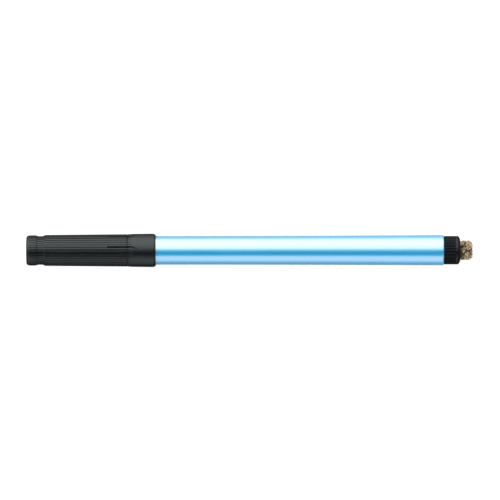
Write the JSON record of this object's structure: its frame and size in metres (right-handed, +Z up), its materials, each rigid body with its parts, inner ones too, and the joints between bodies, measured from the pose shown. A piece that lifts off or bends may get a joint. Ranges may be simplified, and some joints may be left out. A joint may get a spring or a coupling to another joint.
{
  "type": "overhead projector marker",
  "caption": "Slim capped marker for transparent film, with a ribbed push-fit cap and pocket clip, a fibre nib fed by an ink reservoir, and a fibre eraser in its end plug.",
  "frame": {"origin": "on the table under the middle of the pen's length, below its axis", "axes": "+X along the pen from the cap's closed end to the eraser, +Z up to the clip's side, +Y across"},
  "size_m": [0.142, 0.0106, 0.0106],
  "materials": {
    "black_plastic": "moulded black polypropylene, glossy",
    "blue_plastic": "light blue pearl polypropylene, glossy",
    "natural_plastic": "natural polyethylene, satin",
    "nib_fibre": "bonded fibre soaked with black ink",
    "ink_fibre": "fibre bundle soaked with black ink",
    "clear_film": "thin clear film",
    "eraser_fibre": "coarse brown felted fibre"
  },
  "bodies": {
    "pen": {"barrel_tube": "blue_plastic", "front_section": "black_plastic", "nib": "nib_fibre", "reservoir_core": "ink_fibre", "reservoir_wrap": "clear_film", "end_plug": "black_plastic", "eraser_pad": "eraser_fibre"},
    "cap": {"cap_shell": "black_plastic", "cap_inner_seal": "natural_plastic"},
    "clip": {"cap_clip": "black_plastic"}
  },
  "joints": [
    {"name": "cap_pull", "type": "slide", "parent": "pen", "child": "cap", "axis": [-1, 0, 0], "range_m": [0, 0.045]},
    {"name": "clip_flex", "type": "hinge", "parent": "cap", "child": "clip", "pos_m": [-0.04505, 0, 0.0101], "axis": [0, -1, 0], "range_deg": [0, 6], "stiffness_Nm_per_rad": 0.3}
  ]
}
